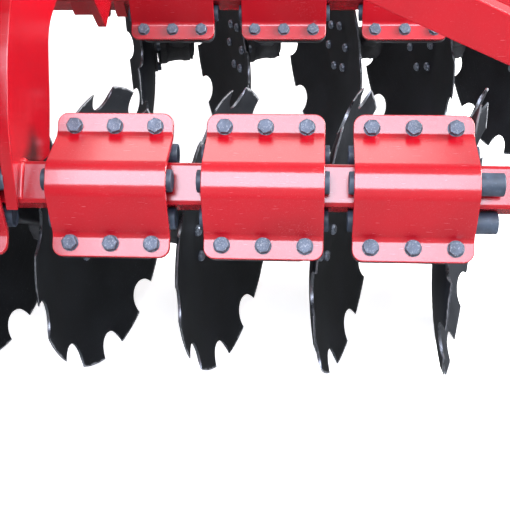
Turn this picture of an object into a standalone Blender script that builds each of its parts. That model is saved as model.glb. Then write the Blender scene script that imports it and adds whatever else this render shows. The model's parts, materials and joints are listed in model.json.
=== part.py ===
"""Trailed compact disc harrow: two offset rows of notched discs on rubber-sprung arms.

The machine travels towards -Y, +Z is up and X = 0 is the centre plane. Sizes are in metres.
It stands as it is parked, on its discs, its cage roller and the swing-up stand.
"""
import math

import bmesh
import bpy
from mathutils import Matrix, Vector

# ---- fits -------------------------------------------------------------------------------
SEAT_GAP = 0.0003          # joint line between pieces that are bolted or welded together
RUN_GAP = 0.0003           # radial play of a shaft in its bearing
FACE_GAP = 0.005           # play between a turning face and a standing one

# ---- discs ------------------------------------------------------------------------------
DISC_RADIUS = 0.288
DISC_DISH = 0.056          # depth of the dish from rim plane to flat
DISC_THICK = 0.006
DISC_FLAT_RADIUS = 0.085
NOTCHES = 10
NOTCH_DEPTH = 0.042
NOTCH_SHARE = 0.46         # part of each pitch that is cut away at the rim
CAMBER = 1.9               # degrees that each disc leans
FRONT_ANGLES = (13.7,) * 8  # degrees that each disc turns out of the line of travel
REAR_ANGLES = (20.3, 20.3, 20.3, 14.5, 20.3, 20.3, 20.3, 20.3)

# ---- hubs -------------------------------------------------------------------------------
SHAFT_RADIUS = 0.0195
SHAFT_LENGTH = 0.080
HUB_FLANGE_RADIUS = 0.074
HUB_FLANGE_THICK = 0.011
HUB_RADIUS = 0.050
HUB_LENGTH = 0.100
HUB_SIDES = 12

# ---- beams and rows ---------------------------------------------------------------------
BEAM_SIDE = 0.070
ROW_DISTANCE = 0.798
DISC_BELOW_BEAM = 0.259
BEAM_HEIGHT = DISC_BELOW_BEAM + DISC_RADIUS + 0.0005
FRONT_CLAMPS = (-1.006, -0.754, -0.502, -0.250, 0.0, 0.273, 0.525, 0.767)
REAR_CLAMPS = (-0.770, -0.510, -0.250, 0.266, 0.527, 0.806, 1.035, 1.290)
FRONT_DISCS = (-0.819, -0.567, -0.315, -0.063, 0.187, 0.439, 0.681, 0.913)
REAR_DISCS = (-0.967, -0.707, -0.447, 0.090, 0.333, 0.612, 0.838, 1.093)
FRONT_PHASES = (11.0, 27.0, 5.0, 17.0, 1.0, 29.5, 22.0, 8.0)   # degrees to the first notch
REAR_PHASES = (9.0, 31.0, 17.0, 24.0, 14.7, 20.8, 27.0, 33.6)
FRONT_TRAIL = 0.214        # disc centre behind its beam
REAR_TRAIL = 0.226
FRONT_BEAM = (-1.420, 1.300)
REAR_BEAM = (-0.900, 1.420)

# ---- saddle clamps ----------------------------------------------------------------------
CLAMP_WIDTH = 0.196
REAR_HALF_SHORT = 0.022    # rear half is shorter than the plate on the side of its disc
FLANGE_BEND = BEAM_SIDE / 2.0 + 0.045
FLANGE_END = FLANGE_BEND + 0.041   # half height of the clamp along its joint plane
FLANGE_FACE = 0.014        # outer face of the flange from the joint plane
APEX_FACE = BEAM_SIDE / 2.0 + 0.039
APEX_HALF = 0.020
PLATE_THICK = 0.010
ROLL_HALF = 0.013          # half of the roll's flat on the beam

# ---- frame ------------------------------------------------------------------------------
CHEEK_LEFT = -0.112        # inner faces of the two arch plates
CHEEK_RIGHT = 0.104
CHEEK_THICK = 0.020
MAST_TOP = 0.690
BRACE_HEIGHT = 0.070
BRACE_DEPTH = 0.030
BRACE_SLOPE = -0.468
BRACE_AT_MAST = BEAM_SIDE / math.sqrt(2.0) + 0.5725025      # height of the brace's middle line over the beam at the arch plate
BRACE_FOOT_X = 1.262
DRAWBAR_LENGTH = 1.400
EYE_HEIGHT = 0.500
EYE_RADIUS = 0.055
EYE_HOLE = 0.0255
STAND_Y = -0.980

# ---- roller -----------------------------------------------------------------------------
ROLLER_Y = 2.060
ROLLER_RADIUS = 0.200
ROLLER_HALF = 1.080
ROLLER_BARS = 8
ROLLER_STUB = 0.020
ROLLER_CHEEK = 0.020
CROSSBAR = 0.080

# ---- origin -----------------------------------------------------------------------------
MIDDLE_Y = 0.3945          # middle of the machine's length behind the front beam


def clear_scene():
    """Remove every object from the scene."""
    for old in list(bpy.data.objects):
        bpy.data.objects.remove(old, do_unlink=True)


COLORS = {
    "frame_red": (0.47, 0.02, 0.02, 1.0),
    "clamp_red": (0.50, 0.03, 0.03, 1.0),
    "disc_black": (0.02, 0.02, 0.022, 1.0),
    "arm_black": (0.03, 0.03, 0.035, 1.0),
    "steel": (0.45, 0.46, 0.48, 1.0),
    "roller_red": (0.42, 0.02, 0.02, 1.0),
}


def add_object(name, mesh_data, finish):
    """Link a bmesh as a named object with a Principled material of its own."""
    bmesh.ops.remove_doubles(mesh_data, verts=mesh_data.verts, dist=0.00001)
    bmesh.ops.recalc_face_normals(mesh_data, faces=mesh_data.faces)
    mesh = bpy.data.meshes.new(name)
    mesh_data.to_mesh(mesh)
    mesh_data.free()
    obj = bpy.data.objects.new(name, mesh)
    bpy.context.scene.collection.objects.link(obj)
    material = bpy.data.materials.new(name + "_" + finish)
    material.use_nodes = True
    shader = material.node_tree.nodes["Principled BSDF"]
    shader.inputs["Base Color"].default_value = COLORS[finish]
    shader.inputs["Roughness"].default_value = 0.4
    mesh.materials.append(material)
    return obj


def copy_object(source, name, shift):
    """Copy an object with a mesh and a material of its own, moved by shift."""
    mesh = source.data.copy()
    mesh.name = name
    mesh.transform(Matrix.Translation(Vector(shift)))
    mesh.materials[0] = source.data.materials[0].copy()
    mesh.materials[0].name = name + "_finish"
    obj = bpy.data.objects.new(name, mesh)
    bpy.context.scene.collection.objects.link(obj)
    return obj


def join(base, others, operation="UNION"):
    """Apply one exact Boolean per tool to the base and remove the tools."""
    for tool in others:
        modifier = base.modifiers.new("cut", "BOOLEAN")
        modifier.operation = operation
        modifier.solver = "EXACT"
        modifier.object = tool
        bpy.context.view_layer.update()
        graph = bpy.context.evaluated_depsgraph_get()
        result = bpy.data.meshes.new_from_object(base.evaluated_get(graph))
        base.modifiers.clear()
        finish = base.data.materials[0]
        base.data = result
        base.data.name = base.name
        base.data.materials.clear()
        base.data.materials.append(finish)
        bpy.data.objects.remove(tool, do_unlink=True)
    tidy = bmesh.new()
    tidy.from_mesh(base.data)
    bmesh.ops.remove_doubles(tidy, verts=tidy.verts, dist=0.00002)
    bmesh.ops.dissolve_degenerate(tidy, edges=tidy.edges, dist=0.00002)
    bmesh.ops.dissolve_limit(
        tidy, angle_limit=math.radians(0.2), verts=tidy.verts, edges=tidy.edges
    )
    bmesh.ops.triangulate(tidy, faces=tidy.faces)
    tidy.to_mesh(base.data)
    tidy.free()
    for polygon in base.data.polygons:
        polygon.material_index = 0
    return base


def prism(name, outline, place, low, high, finish):
    """Closed prism over an outline; place(u, v, w) gives a point, w runs from low to high."""
    shape = bmesh.new()
    ends = [[shape.verts.new(place(u, v, w)) for u, v in outline] for w in (low, high)]
    count = len(outline)
    for index in range(count):
        after = (index + 1) % count
        shape.faces.new((ends[0][index], ends[0][after], ends[1][after], ends[1][index]))
    shape.faces.new(list(reversed(ends[0])))
    shape.faces.new(ends[1])
    return add_object(name, shape, finish)


def box(name, low, high, finish):
    """Closed box between two corners."""
    outline = [(low[0], low[1]), (high[0], low[1]), (high[0], high[1]), (low[0], high[1])]
    return prism(name, outline, lambda u, v, w: (u, v, w), low[2], high[2], finish)


def loft(name, sections, finish):
    """Closed body through a list of outlines of equal count."""
    shape = bmesh.new()
    rings = [[shape.verts.new(point) for point in section] for section in sections]
    count = len(rings[0])
    for lower, upper in zip(rings, rings[1:]):
        for index in range(count):
            after = (index + 1) % count
            shape.faces.new((lower[index], lower[after], upper[after], upper[index]))
    shape.faces.new(list(reversed(rings[0])))
    shape.faces.new(rings[-1])
    return add_object(name, shape, finish)


def circle(centre, axis, radius, sides, turn=0.0):
    """Points of a regular polygon about an axis."""
    axis = Vector(axis).normalized()
    side = axis.orthogonal().normalized()
    other = axis.cross(side)
    points = []
    for index in range(sides):
        angle = math.tau * (index + turn) / sides
        points.append(Vector(centre) + radius * (math.cos(angle) * side + math.sin(angle) * other))
    return points


def rod(name, start, end, radius, sides, finish):
    """Closed round bar between two points."""
    axis = Vector(end) - Vector(start)
    return loft(name, [circle(start, axis, radius, sides), circle(end, axis, radius, sides)], finish)


# ---- discs ------------------------------------------------------------------------------
def disc_axis(angle, toward):
    """Unit axis from hub to hollow side; toward is +1 for the front row and -1 for the rear."""
    turn, lean = math.radians(angle), math.radians(CAMBER)
    return Vector((
        toward * math.cos(turn) * math.cos(lean),
        -math.sin(turn) * math.cos(lean),
        math.sin(lean),
    ))


def dish_depth(radius):
    """How far the hollow face lies behind the rim plane at a radius."""
    return DISC_DISH * (1.0 - (max(radius, DISC_FLAT_RADIUS) / DISC_RADIUS) ** 2)


def rim_outline(phase):
    """Radius and angle of the rim's corners, five to each notch pitch."""
    pitch = math.tau / NOTCHES
    half = NOTCH_SHARE * pitch / 2.0
    low = DISC_RADIUS - NOTCH_DEPTH
    points = []
    for index in range(NOTCHES):
        start = phase + index * pitch
        points.append((DISC_RADIUS, start + half))
        points.append((DISC_RADIUS, start + pitch / 2.0))
        points.append((DISC_RADIUS, start + pitch - half))
        points.append((low + 0.004, start + pitch - half * 0.45))
        points.append((low + 0.004, start + pitch + half * 0.45))
    return points


def stitch(shape, outer, inner):
    """Triangles between two closed rings of (angle, vertex) sorted by angle."""
    i = j = 0
    total = len(outer) + len(inner)
    for _ in range(total):
        a_now, b_now = outer[i % len(outer)], inner[j % len(inner)]
        a_next = outer[(i + 1) % len(outer)][0] + math.tau * ((i + 1) // len(outer))
        b_next = inner[(j + 1) % len(inner)][0] + math.tau * ((j + 1) // len(inner))
        step_outer = j >= len(inner) or (i < len(outer) and a_next <= b_next)
        if step_outer:
            shape.faces.new((a_now[1], outer[(i + 1) % len(outer)][1], b_now[1]))
            i += 1
        else:
            shape.faces.new((a_now[1], inner[(j + 1) % len(inner)][1], b_now[1]))
            j += 1


def build_disc(name, centre, axis, phase):
    """Notched dish with its hub flange and stub shaft, one forging in this model."""
    side = Vector((0.0, 0.0, 1.0)).cross(axis).normalized()
    other = axis.cross(side)
    shape = bmesh.new()

    def point(radius, angle, depth):
        radial = math.cos(angle) * side + math.sin(angle) * other
        return shape.verts.new(Vector(centre) + radius * radial - depth * axis)

    def ring(radius, sides, depth):
        return [
            (math.tau * (k + 0.25) / sides, point(radius, math.tau * (k + 0.25) / sides, depth))
            for k in range(sides)
        ]

    rims = []
    for thickness in (0.0, DISC_THICK):
        rim = [
            (angle, point(r, angle, dish_depth(r) + thickness))
            for r, angle in rim_outline(math.radians(phase))
        ]
        middle = ring(0.185, 20, dish_depth(0.185) + thickness)
        flat = ring(DISC_FLAT_RADIUS, 10, dish_depth(0.0) + thickness)
        stitch(shape, rim, middle)
        stitch(shape, middle, flat)
        rims.append((rim, flat))
    for k in range(len(rims[0][0])):
        after = (k + 1) % len(rims[0][0])
        shape.faces.new((
            rims[0][0][k][1], rims[0][0][after][1], rims[1][0][after][1], rims[1][0][k][1]
        ))
    shape.faces.new([vertex for _, vertex in rims[0][1]])
    back = dish_depth(0.0) + DISC_THICK
    steps = [
        (HUB_FLANGE_RADIUS, back),
        (HUB_FLANGE_RADIUS, back + HUB_FLANGE_THICK),
        (SHAFT_RADIUS, back + HUB_FLANGE_THICK),
        (SHAFT_RADIUS, back + HUB_FLANGE_THICK + SHAFT_LENGTH),
    ]
    last = rims[1][1]
    for radius, depth in steps:
        now = ring(radius, 10, depth)
        for k in range(10):
            after = (k + 1) % 10
            shape.faces.new((last[k][1], last[after][1], now[after][1], now[k][1]))
        last = now
    shape.faces.new([vertex for _, vertex in last])
    return add_object(name, shape, "disc_black")


# ---- saddle clamps and arms -------------------------------------------------------------
def mirrored(half):
    """Close a half outline given for positive u by its mirror image."""
    return half + [(-u, v) for u, v in reversed(half)]


def front_half_outline():
    """Section of the pressed front plate with its rubber roll, (along joint, outward)."""
    inner_line = FLANGE_BEND + FLANGE_FACE - PLATE_THICK * math.sqrt(2.0)
    inner_flange = FLANGE_FACE - PLATE_THICK
    face = BEAM_SIDE / 2.0 + SEAT_GAP
    outer = [
        (FLANGE_END, FLANGE_FACE),
        (FLANGE_BEND, FLANGE_FACE),
        (APEX_HALF, APEX_FACE),
        (-APEX_HALF, APEX_FACE),
        (-FLANGE_BEND, FLANGE_FACE),
        (-FLANGE_END, FLANGE_FACE),
    ]
    roll_side = 0.027
    inner = [
        (-FLANGE_END, inner_flange),
        (-(inner_line - inner_flange), inner_flange),
        (-roll_side, inner_line - roll_side),
        (-ROLL_HALF - 0.004, face + 0.006),
        (-ROLL_HALF, face),
        (ROLL_HALF, face),
        (ROLL_HALF + 0.004, face + 0.006),
        (roll_side, inner_line - roll_side),
        (inner_line - inner_flange, inner_flange),
        (FLANGE_END, inner_flange),
    ]
    return outer + inner


def rear_half_outline():
    """Section of the rear half with its three rubber rolls, (along joint, outward)."""
    inner_line = FLANGE_BEND + FLANGE_FACE - PLATE_THICK * math.sqrt(2.0)
    inner_flange = FLANGE_FACE - PLATE_THICK
    side = BEAM_SIDE / 2.0
    face = side + SEAT_GAP
    half = [
        (0.0, -APEX_FACE),
        (APEX_HALF, -APEX_FACE),
        (FLANGE_BEND, -FLANGE_FACE),
        (FLANGE_END, -FLANGE_FACE),
        (FLANGE_END, -inner_flange),
        (inner_line - inner_flange, -inner_flange),
        (side + 0.034, 0.004),
        (side + 0.024, 0.014),
        (side + 0.010, 0.015),
        (face, ROLL_HALF - 0.002),
        (face, -ROLL_HALF),
        (face + 0.006, -ROLL_HALF - 0.004),
        (side + 0.021, side + 0.021 - inner_line),
        (0.030, 0.030 - inner_line),
        (ROLL_HALF + 0.004, -face - 0.006),
        (ROLL_HALF, -face),
    ]
    return half + [(-u, v) for u, v in reversed(half[1:])]


def clamp_place(x, y):
    """Map section coordinates of a clamp on a beam at y to points; w runs along the beam."""
    c = math.sqrt(0.5)

    def place(u, v, w):
        return (x + w, y + c * (u - v), BEAM_HEIGHT + c * (u + v))

    return place


def build_arm(name, x, y, offset, axis):
    """Rear clamp half, cranked arm and bearing housing."""
    half = CLAMP_WIDTH / 2.0
    low, high = -half, half - REAR_HALF_SHORT
    if offset[0] < 0:
        low, high = -high, -low
    arm = prism(name, rear_half_outline(), clamp_place(x, y), low, high, "arm_black")
    centre = Vector((x + offset[0], y + offset[1], BEAM_HEIGHT - DISC_BELOW_BEAM))
    face = dish_depth(0.0) + DISC_THICK + HUB_FLANGE_THICK + FACE_GAP
    near = centre - axis * face
    far = centre - axis * (face + HUB_LENGTH)
    middle = (near + far) / 2.0
    root = Vector((x, y + 0.049, BEAM_HEIGHT - 0.049))
    knee = Vector((x + 0.012 * (1 if offset[0] > 0 else -1), y + 0.135, BEAM_HEIGHT - 0.155))
    stations = [(root, 0.055, 0.030), (knee, 0.034, 0.034), (middle, 0.030, 0.030)]
    sections = []
    for spot, wide, deep in stations:
        c = math.sqrt(0.5)
        sections.append([
            spot + Vector((wide * sx, deep * c * sy, deep * c * sy))
            for sx, sy in ((-1, -1), (1, -1), (1, 1), (-1, 1))
        ])
    blade = loft("blade", sections, "arm_black")
    housing = rod("housing", near, far, HUB_RADIUS, HUB_SIDES, "arm_black")
    join(arm, [blade, housing])
    bore_radius = (SHAFT_RADIUS + RUN_GAP) / math.cos(math.pi / 12)
    deep = face + SHAFT_LENGTH + 0.004
    bore = rod(
        "bore", centre - axis * (face - 0.010), centre - axis * deep, bore_radius, 12, "steel"
    )
    join(arm, [bore], "DIFFERENCE")
    return arm


def build_row(row, clamps, discs, phases, beam_y, trail, angles, toward):
    """Front plates, arms and discs of one row along its beam."""
    half = CLAMP_WIDTH / 2.0
    plate = prism(
        "plate", front_half_outline(), clamp_place(0.0, beam_y), -half, half, "clamp_red"
    )
    places = zip(clamps, discs, phases, angles)
    for number, (x, disc_x, phase, angle) in enumerate(places, start=1):
        axis = disc_axis(angle, toward)
        copy_object(plate, "%s_clamp_plate_%d" % (row, number), (x, 0.0, 0.0))
        build_arm("%s_arm_%d" % (row, number), x, beam_y, (disc_x - x, trail), axis)
        centre = Vector((disc_x, beam_y + trail, BEAM_HEIGHT - DISC_BELOW_BEAM))
        build_disc("%s_disc_%d" % (row, number), centre, axis, phase)
    bpy.data.objects.remove(plate, do_unlink=True)


# ---- frame ------------------------------------------------------------------------------
def build_beam(name, y, ends):
    """Square beam standing on its edge."""
    diagonal = BEAM_SIDE / math.sqrt(2.0)
    outline = [(-diagonal, 0.0), (0.0, -diagonal), (diagonal, 0.0), (0.0, diagonal)]
    return prism(
        name, outline, lambda u, v, w: (w, y + u, BEAM_HEIGHT + v), ends[0], ends[1], "frame_red"
    )


def notch_half():
    """Half width of a V notch that sits on the beam's upper faces."""
    return (BEAM_SIDE / 2.0 + SEAT_GAP) * math.sqrt(2.0)


def arch_outline():
    """Side view of an arch plate, (y, height over the beams), front foot first."""
    seat = notch_half()
    outer = [
        (-seat - 0.014, -0.006), (-seat - 0.002, 0.040), (-0.027, 0.119), (0.038, 0.214),
        (0.105, 0.279),
        (0.200, 0.325), (0.300, 0.345),
    ]
    inner = [
        (seat, 0.0), (0.134, -0.028), (0.193, 0.052), (0.233, 0.117), (0.265, 0.160),
        (0.339, 0.179),
    ]
    front = [(0.0, seat), (-seat, 0.0)]
    back_outer = [(ROW_DISTANCE - y, z) for y, z in reversed(outer)]
    back_inner = [(ROW_DISTANCE - y, z) for y, z in inner]
    rear_seat = [(ROW_DISTANCE + seat, 0.0), (ROW_DISTANCE, seat)]
    return outer + back_outer + rear_seat + back_inner + list(reversed(inner)) + front


def build_arch(name, side):
    """Arch plate over both beams on one side of the centre plane."""
    low, high = CHEEK_RIGHT, CHEEK_RIGHT + CHEEK_THICK
    if side < 0:
        low, high = CHEEK_LEFT - CHEEK_THICK, CHEEK_LEFT
    return prism(
        name, arch_outline(), lambda u, v, w: (w, u, BEAM_HEIGHT + v), low, high, "frame_red"
    )


def build_mast():
    """Bridge between the arch plates with the mast post that holds the braces."""
    top = BEAM_HEIGHT + MAST_TOP
    base = BEAM_HEIGHT + 0.200
    outline = [
        (0.030, base), (0.560, base), (0.560, base + 0.110), (0.110, base + 0.110),
        (0.075, top), (-0.015, top), (-0.015, base + 0.060),
    ]
    low, high = CHEEK_LEFT + SEAT_GAP, CHEEK_RIGHT - SEAT_GAP
    return prism("mast", outline, lambda u, v, w: (w, u, v), low, high, "frame_red")


def build_brace(name, side):
    """Diagonal tube from the mast to a foot plate notched over the front beam."""
    start_x = CHEEK_RIGHT if side > 0 else -CHEEK_LEFT
    run = BRACE_FOOT_X - start_x
    slant = BRACE_HEIGHT / 2.0 / math.cos(math.atan(BRACE_SLOPE))
    z_start = BEAM_HEIGHT + BRACE_AT_MAST + BRACE_SLOPE * (start_x - CHEEK_RIGHT)
    z_end = z_start + BRACE_SLOPE * run
    outline = [
        (start_x, z_start - slant), (BRACE_FOOT_X, z_end - slant),
        (BRACE_FOOT_X, z_end + slant), (start_x, z_start + slant),
    ]
    tube = prism(
        name, outline, lambda u, v, w: (side * u, w, v),
        0.030 - BRACE_DEPTH / 2.0, 0.030 + BRACE_DEPTH / 2.0, "frame_red",
    )
    seat = notch_half()
    foot_outline = [
        (-seat - 0.010, -0.004), (-seat - 0.002, 0.040), (-0.010, z_end + slant - BEAM_HEIGHT),
        (0.055, z_end + slant - BEAM_HEIGHT), (seat + 0.028, 0.020), (seat + 0.028, -0.030),
        (seat, 0.0),
        (0.0, seat), (-seat, 0.0),
    ]
    foot = prism(
        "foot", foot_outline, lambda u, v, w: (side * w, u, BEAM_HEIGHT + v),
        BRACE_FOOT_X - 0.012, BRACE_FOOT_X + 0.008, "frame_red",
    )
    return join(tube, [foot])


def build_drawbar():
    """Tapered box bar from the mast forward, with the towing eye forged to its nose."""
    root_y = -0.015 - SEAT_GAP
    eye_y = -DRAWBAR_LENGTH
    stations = [
        (root_y, BEAM_HEIGHT + 0.400, 0.060, 0.110),
        (-0.250, BEAM_HEIGHT + 0.360, 0.055, 0.075),
        (-0.900, EYE_HEIGHT + 0.050, 0.045, 0.055),
        (eye_y + 0.120, EYE_HEIGHT, 0.035, 0.040),
        (eye_y + EYE_RADIUS - 0.015, EYE_HEIGHT, 0.022, 0.016),
    ]
    sections = []
    for y, z, wide, tall in stations:
        sections.append([
            (wide * sx, y, z + tall * sz) for sx, sz in ((-1, -1), (1, -1), (1, 1), (-1, 1))
        ])
    bar = loft("drawbar", sections, "frame_red")
    eye = rod(
        "eye", (0.0, eye_y, EYE_HEIGHT - 0.018), (0.0, eye_y, EYE_HEIGHT + 0.018),
        EYE_RADIUS, 16, "frame_red",
    )
    join(bar, [eye])
    hole = rod(
        "hole", (0.0, eye_y, EYE_HEIGHT - 0.05), (0.0, eye_y, EYE_HEIGHT + 0.05),
        EYE_HOLE / math.cos(math.pi / 16), 16, "steel",
    )
    pin = rod(
        "pin", (-0.030, STAND_Y, EYE_HEIGHT + 0.040), (-0.094, STAND_Y, EYE_HEIGHT + 0.040),
        0.015, 12, "steel",
    )
    head = rod(
        "head", (-0.091, STAND_Y, EYE_HEIGHT + 0.040), (-0.097, STAND_Y, EYE_HEIGHT + 0.040),
        0.022, 12, "steel",
    )
    join(bar, [hole], "DIFFERENCE")
    return join(bar, [pin, head])


def build_stand():
    """Parking stand that hangs on the drawbar's pin and swings up backwards."""
    x_mid = -0.070
    top = EYE_HEIGHT + 0.040
    leg = box(
        "stand", (x_mid - 0.016, STAND_Y - 0.028, 0.010),
        (x_mid + 0.016, STAND_Y + 0.028, top + 0.035), "frame_red",
    )
    foot = box(
        "foot", (x_mid - 0.060, STAND_Y - 0.070, 0.0), (x_mid + 0.060, STAND_Y + 0.070, 0.012),
        "frame_red",
    )
    join(leg, [foot])
    hole = rod(
        "hole", (x_mid - 0.05, STAND_Y, top), (x_mid + 0.05, STAND_Y, top),
        (0.015 + RUN_GAP) / math.cos(math.pi / 12), 12, "steel",
    )
    return join(leg, [hole], "DIFFERENCE")


# ---- roller -----------------------------------------------------------------------------
def build_roller_frame():
    """Spine, cross tube and hanging end plates that carry the cage roller."""
    wide = CHEEK_RIGHT - SEAT_GAP
    low = BEAM_HEIGHT + 0.200
    spine = loft(
        "roller_frame",
        [
            [
                (sx * width, y, z + sz * 0.040)
                for sx, sz in ((-1, -1), (1, -1), (1, 1), (-1, 1))
            ]
            for y, z, width in (
                (0.560 + SEAT_GAP, low + 0.060, wide),
                (0.700, low + 0.060, wide),
                (ROLLER_Y - 0.030, BEAM_HEIGHT, 0.060),
            )
        ],
        "frame_red",
    )
    half = CROSSBAR / 2.0
    edge = ROLLER_HALF + 0.045
    bar = box(
        "bar", (-edge, ROLLER_Y - half, BEAM_HEIGHT - half),
        (edge, ROLLER_Y + half, BEAM_HEIGHT + half), "frame_red",
    )
    join(spine, [bar])
    plates = []
    for side in (-1, 1):
        outline = [
            (ROLLER_Y - 0.060, ROLLER_RADIUS - 0.045), (ROLLER_Y + 0.060, ROLLER_RADIUS - 0.045),
            (ROLLER_Y + 0.075, BEAM_HEIGHT + 0.020), (ROLLER_Y - 0.075, BEAM_HEIGHT + 0.020),
        ]
        low_x, high_x = ROLLER_HALF + 0.010, ROLLER_HALF + 0.010 + ROLLER_CHEEK
        plates.append(prism(
            "plate", outline, lambda u, v, w, s=side: (s * w, u, v), low_x, high_x, "frame_red"
        ))
    join(spine, plates)
    bores = []
    for side in (-1, 1):
        bores.append(rod(
            "bore", (side * (ROLLER_HALF - 0.02), ROLLER_Y, ROLLER_RADIUS + 0.0005),
            (side * (ROLLER_HALF + 0.06), ROLLER_Y, ROLLER_RADIUS + 0.0005),
            (ROLLER_STUB + RUN_GAP) / math.cos(math.pi / 12), 12, "steel",
        ))
    return join(spine, bores, "DIFFERENCE")


def build_roller():
    """Cage of round bars through three webs on a centre tube."""
    centre_z = ROLLER_RADIUS + 0.0005
    tube = rod(
        "roller", (-ROLLER_HALF - 0.036, ROLLER_Y, centre_z),
        (ROLLER_HALF + 0.036, ROLLER_Y, centre_z), ROLLER_STUB, 12, "roller_red",
    )
    webs = []
    for x in (-ROLLER_HALF + 0.006, 0.0, ROLLER_HALF - 0.006):
        webs.append(rod(
            "web", (x - 0.006, ROLLER_Y, centre_z), (x + 0.006, ROLLER_Y, centre_z),
            ROLLER_RADIUS - 0.016, 16, "roller_red",
        ))
    join(tube, webs)
    bars = []
    for index in range(ROLLER_BARS):
        angle = math.tau * (index + 0.5) / ROLLER_BARS
        y = ROLLER_Y + (ROLLER_RADIUS - 0.017) * math.cos(angle)
        z = centre_z + (ROLLER_RADIUS - 0.017) * math.sin(angle)
        bars.append(rod(
            "cage", (-ROLLER_HALF + 0.0006, y, z), (ROLLER_HALF - 0.0006, y, z), 0.0155, 6,
            "roller_red",
        ))
    return join(tube, bars)


def main():
    """Build every piece of the harrow."""
    clear_scene()
    build_beam("front_beam", 0.0, FRONT_BEAM)
    build_beam("rear_beam", ROW_DISTANCE, REAR_BEAM)
    build_arch("arch_plate_left", -1)
    build_arch("arch_plate_right", 1)
    build_mast()
    build_brace("brace_left", -1)
    build_brace("brace_right", 1)
    build_drawbar()
    build_stand()
    build_row(
        "front", FRONT_CLAMPS, FRONT_DISCS, FRONT_PHASES, 0.0, FRONT_TRAIL, FRONT_ANGLES, 1
    )
    build_row(
        "rear", REAR_CLAMPS, REAR_DISCS, REAR_PHASES, ROW_DISTANCE, REAR_TRAIL, REAR_ANGLES, -1
    )
    build_roller_frame()
    build_roller()
    for obj in bpy.context.scene.objects:
        obj.data.transform(Matrix.Translation((0.0, -MIDDLE_Y, 0.0)))


main()
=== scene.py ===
"""Visual model of a trailed compact disc harrow, dressed around its CAD frame.

The machine travels towards -Y and +Z is up. Every size is in metres. Each sub-assembly is a
class that models its pieces and gives them their finishes.
"""
import json
import logging
import math
from dataclasses import dataclass, field
from enum import Enum
from typing import Any, Callable, Iterable, Sequence

import bpy
from mathutils import Matrix, Vector


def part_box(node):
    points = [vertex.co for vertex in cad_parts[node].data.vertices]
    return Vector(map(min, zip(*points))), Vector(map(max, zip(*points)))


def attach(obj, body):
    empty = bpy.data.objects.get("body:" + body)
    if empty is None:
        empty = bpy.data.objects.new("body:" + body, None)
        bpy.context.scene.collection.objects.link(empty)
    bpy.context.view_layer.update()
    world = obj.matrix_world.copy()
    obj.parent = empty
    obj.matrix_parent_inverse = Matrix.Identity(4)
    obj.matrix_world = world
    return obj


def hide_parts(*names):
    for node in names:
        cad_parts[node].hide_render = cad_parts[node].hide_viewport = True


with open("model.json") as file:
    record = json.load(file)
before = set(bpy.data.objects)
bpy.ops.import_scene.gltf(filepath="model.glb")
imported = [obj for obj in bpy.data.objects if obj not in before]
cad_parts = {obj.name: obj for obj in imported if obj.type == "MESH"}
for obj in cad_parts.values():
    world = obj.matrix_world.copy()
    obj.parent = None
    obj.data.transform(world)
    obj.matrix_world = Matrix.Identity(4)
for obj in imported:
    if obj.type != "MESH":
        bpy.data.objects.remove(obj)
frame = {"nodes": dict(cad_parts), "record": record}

log = logging.getLogger("disc_harrow")
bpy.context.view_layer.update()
Point = tuple[float, float, float]


# ---- shader wiring --------------------------------------------------------------------------
class Wire:
    """A socket that takes part in Python expressions."""

    def __init__(self, board: "Board", socket: Any) -> None:
        """Keep the board and the socket."""
        self.board = board
        self.socket = socket

    def _math(self, operation: str, *values: Any) -> "Wire":
        """Return the result of one Math node."""
        inputs = {number: value for number, value in enumerate(values)}
        return self.board.node("ShaderNodeMath", {"operation": operation}, inputs)

    def __add__(self, other: Any) -> "Wire":
        """Return self + other."""
        return self._math("ADD", self, other)

    __radd__ = __add__

    def __sub__(self, other: Any) -> "Wire":
        """Return self - other."""
        return self._math("SUBTRACT", self, other)

    def __rsub__(self, other: Any) -> "Wire":
        """Return other - self."""
        return self._math("SUBTRACT", other, self)

    def __mul__(self, other: Any) -> "Wire":
        """Return self * other."""
        return self._math("MULTIPLY", self, other)

    __rmul__ = __mul__

    def __pow__(self, other: Any) -> "Wire":
        """Return self to the power of other."""
        return self._math("POWER", self, other)

    def clip(self, low: float, high: float) -> "Wire":
        """Make a smooth step.

        Args:
            low: Value below which the result is 0.
            high: Value above which the result is 1.

        Returns:
            The step as a wire.
        """
        return self.board.node(
            "ShaderNodeMapRange",
            {"interpolation_type": "SMOOTHSTEP"},
            {"Value": self, "From Min": low, "From Max": high},
        )


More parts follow.
